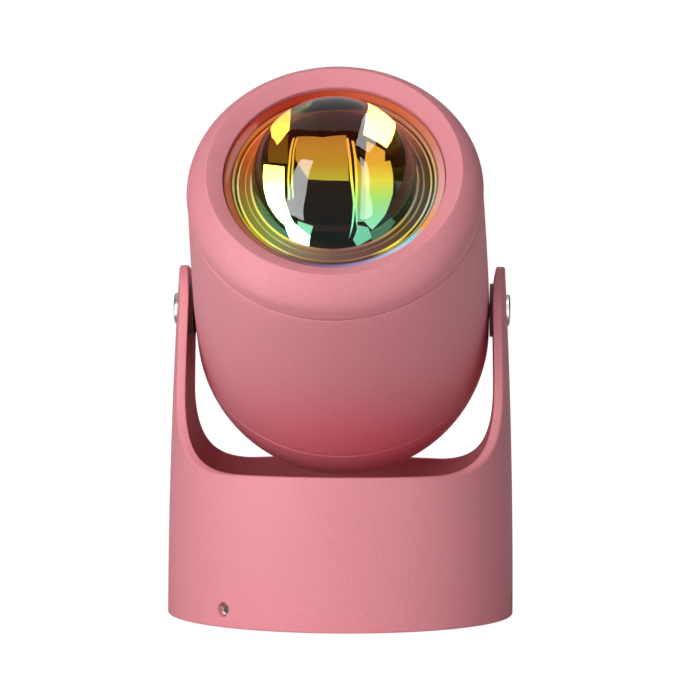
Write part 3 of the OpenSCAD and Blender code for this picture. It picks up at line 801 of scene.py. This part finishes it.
def reflector(name, rays, distance, strength, corners, strip=None):
    """A glowing sheet round the lens, with corners in azimuth and elevation, that either the bare
    glass ("seen") or the coated back through the glass ("clear") reflects. With strip, the corners
    are the path of a tube of that width in degrees."""
    count = len(corners)
    if strip:
        path = np.array(corners, float)
        half = np.stack([strip / 2 / np.cos(np.radians(path[:, 1])), np.zeros(count)], 1)
        edges = np.array([direction(*corner) for corner in np.concatenate([path - half, path + half])])
        faces = [[i, i + 1, count + i + 1, count + i] for i in range(count - 1)]
    else:
        rim = np.array([direction(*corner) for corner in corners])
        hub = rim.mean(0)
        edges = np.concatenate([[hub / np.linalg.norm(hub)], rim])
        faces = [[0, 1 + i, 1 + (i + 1) % count] for i in range(count)]
    mat = bpy.data.materials.new(name)
    mat.use_nodes = True
    tree = mat.node_tree
    tree.nodes.clear()
    glow = node(tree, "ShaderNodeEmission", {"Strength": strength})
    node(tree, "ShaderNodeOutputMaterial", {"Surface": glow.outputs["Emission"]})
    obj = piece(name, PIVOT + AHEAD * BALL_T + distance * edges, faces, None, mat)
    obj.visible_camera = obj.visible_diffuse = obj.visible_shadow = False
    obj.visible_glossy = rays == "seen"
    obj.visible_transmission = rays == "clear"


def rays_of(tree, *kinds):
    """Whether the light path is a ray of each kind."""
    path = node(tree, "ShaderNodeLightPath")
    return [path.outputs[f"Is {kind} Ray"] for kind in kinds]


def backward_of(tree, place):
    """A place's length towards the back."""
    return node(tree, "ShaderNodeSeparateXYZ", {0: place}).outputs["Y"]


def floor():
    """A pale table: white to the camera, with the lamp's shadow kept; to shiny and clear surfaces it
    is white behind the lamp. In front the table lies in the dark of the room, which bare glass shows
    as a deep maroon."""
    mat, tree, shader = finish("pale_floor", Base_Color=(0.9, 0.9, 0.9, 1), Roughness=0.9)
    to_camera, glossy, clear, diffuse = rays_of(tree, "Camera", "Glossy", "Transmission", "Diffuse")
    back = backward_of(tree, object_place(tree))
    shiny = calc(tree, "ADD", glossy, clear)
    away = node(tree, "ShaderNodeVectorMath", {0: object_place(tree)}, operation="LENGTH").outputs["Value"]
    strength = calc(tree, "MULTIPLY", shiny, fade(tree, back, -0.02, 0.15, 0.01))
    strength = calc(tree, "MULTIPLY_ADD", to_camera, fade(tree, away, 0.05, 0.5, 1.13, 1.2), strength)
    strength = calc(tree, "MULTIPLY_ADD", diffuse, 0.54, strength)
    dark = calc(tree, "MULTIPLY", glossy, fade(tree, back, 0.0, -0.05))
    strength = calc(tree, "MULTIPLY_ADD", dark, 0.26, strength)
    colour = mix_colour(tree, dark, (1, 1, 1, 1), (1, 0.08, 0.6, 1))
    glow = node(tree, "ShaderNodeEmission", {"Color": colour, "Strength": strength}).outputs["Emission"]
    share = calc(tree, "MULTIPLY", calc(tree, "ADD", shiny, to_camera), 0.85)
    share = calc(tree, "MULTIPLY_ADD", diffuse, 0.5, share)
    mix = node(tree, "ShaderNodeMixShader", {0: share, 1: shader.outputs["BSDF"], 2: glow})
    tree.links.new(mix.outputs["Shader"], tree.nodes["Material Output"].inputs["Surface"])
    half = 4000
    corners = [[-half, -half, 0], [half, -half, 0], [half, half, 0], [-half, half, 0]]
    piece("floor", corners, [[0, 1, 2, 3]], None, mat)


def world():
    """White to the camera; to clear surfaces white behind and dark in front, and to shiny ones dim."""
    studio = bpy.data.worlds.new("studio")
    bpy.context.scene.world = studio
    studio.use_nodes = True
    tree = studio.node_tree
    to_camera, glossy, clear, diffuse = rays_of(tree, "Camera", "Glossy", "Transmission", "Diffuse")
    back = backward_of(tree, node(tree, "ShaderNodeTexCoord").outputs["Generated"])
    strength = calc(tree, "MULTIPLY", clear, fade(tree, back, 0.35, 0.6, 0.004, 1.0))
    strength = calc(tree, "MULTIPLY_ADD", glossy, fade(tree, back, 0.3, 1.0, 0.01, 0.12), strength)
    strength = calc(tree, "MULTIPLY_ADD", diffuse, 0.02, strength)
    strength = calc(tree, "ADD", strength, to_camera)
    background = tree.nodes["Background"]
    background.inputs["Color"].default_value = (1, 1, 1, 1)
    tree.links.new(strength, background.inputs["Strength"])


camera()

softbox("key_box", -23, 18, 1.2, 0.7, 1.1, 12.3)
softbox("left_box", -60, 15, 1.2, 0.7, 1.1, 1.8)
softbox("right_box", 50, 15, 1.2, 0.7, 1.1, 1.0)
softbox("top_box", 0, 85, 1.5, 1.0, 1.0, 3.2)
softbox("back_box", 180, 12, 1.2, 0.9, 1.1, 4.0)

for angle in (-40, 0, 40):
    cup_glow(angle)

# the room as the lens shows it: boxes and tubes in the coated back, and bars close to the ball, with
# distances in millimetres from the ball's middle
FAR, TUBES, NEAR = 1500, 1480, 95
for box in (
    ("right_low_box", "clear", FAR, 5,
     [(22, -8), (34, -8), (37, 10), (37, 24), (35, 34), (25, 25), (24, 5)]),
    ("left_low_box", "clear", FAR, 28,
     [(-18, -8), (-34, -8), (-36, 5), (-36, 27), (-35, 36), (-19, 35), (-18, 13)]),
    ("ceiling_panel", "clear", FAR, 0.68,
     [(21, 35), (5, 41), (-9, 39), (-13, 53), (-18, 63), (3, 64), (19, 62), (25, 50)]),
    ("right_high_box", "clear", FAR, 12,
     [(49, 37), (35, 50), (42, 58), (51, 63), (62, 69), (78, 74), (91, 81), (125, 77), (107, 68), (88, 71),
      (77, 62), (69, 54), (59, 46)]),
    ("right_top_sheet", "clear", FAR, 1.1, [(63, 74), (52, 81), (91, 81), (84, 74)]),
    ("left_high_box", "clear", FAR, 1.1,
     [(-22, 39), (-35, 39), (-38, 45), (-41, 42), (-48, 47), (-59, 54), (-72, 62), (-85, 70), (-65, 73),
      (-42, 66), (-26, 55)]),
    ("left_top_sheet", "clear", FAR, 0.8, [(-66, 76), (-78, 72), (-100, 69), (-119, 75), (-103, 79)]),
    ("tube_1", "clear", TUBES, 1.5, [(23, 35), (26, 42), (30, 50), (36, 57), (47, 65)], 1.3),
    ("tube_2", "clear", TUBES, 1.4, [(21, 36), (24, 43), (28, 52), (33, 58), (42, 66)], 1.0),
    ("tube_3", "clear", TUBES, 1.5,
     [(-10, 41), (-13, 50), (-20, 62), (-34, 71), (-57, 78), (-95, 81)], 1.2),
    ("tube_4", "clear", TUBES, 1.5,
     [(-13.5, 42), (-17, 50), (-24, 61), (-37, 71), (-58, 76), (-85, 77)], 1.2),
    ("amber_sheet", "clear", FAR, 0.2, [(39, 22), (26, 29), (31, 50), (45, 39)]),
    ("left_inner_sheet", "clear", FAR, 0.75,
     [(-17, 50), (-26, 55), (-42, 66), (-65, 73), (-57, 76), (-37, 71), (-24, 61)]),
    ("rear_card", "seen", FAR, 0.55,
     [(-164, 0), (-160, 24), (-136, 42), (-104, 47), (-60, 60), (0, 66), (68, 57), (110, 58), (140, 50),
      (158, 42), (165, 20), (166, 0)]),
    ("right_side_glow", "clear", FAR, 0.25,
     [(71, 39), (74, 50), (84, 61), (96, 70), (107, 68), (100, 57), (87, 46)]),
    ("left_side_glow", "clear", FAR, 0.25, [(-88, 71), (-79, 59), (-87, 55), (-101, 61), (-110, 67)]),
    ("left_bar", "seen", NEAR, 9,
     [(-43, 22), (-25, 21), (-30, 3), (-34, -16), (-64, -55), (-88, -43), (-73, -30), (-54, -3)]),
    ("right_bar", "seen", NEAR, 7,
     [(37, 26), (46, 18), (49, -15), (72, -44), (72, -54), (48, -47), (37, -16)]),
    ("right_back_sheet", "seen", NEAR, 6,
     [(140, 56), (70, 55), (82, 42), (52, 29), (35, 41), (89, 65)]),
):
    reflector(*box)

floor()
world()
bpy.context.scene.view_settings.view_transform = "Standard"
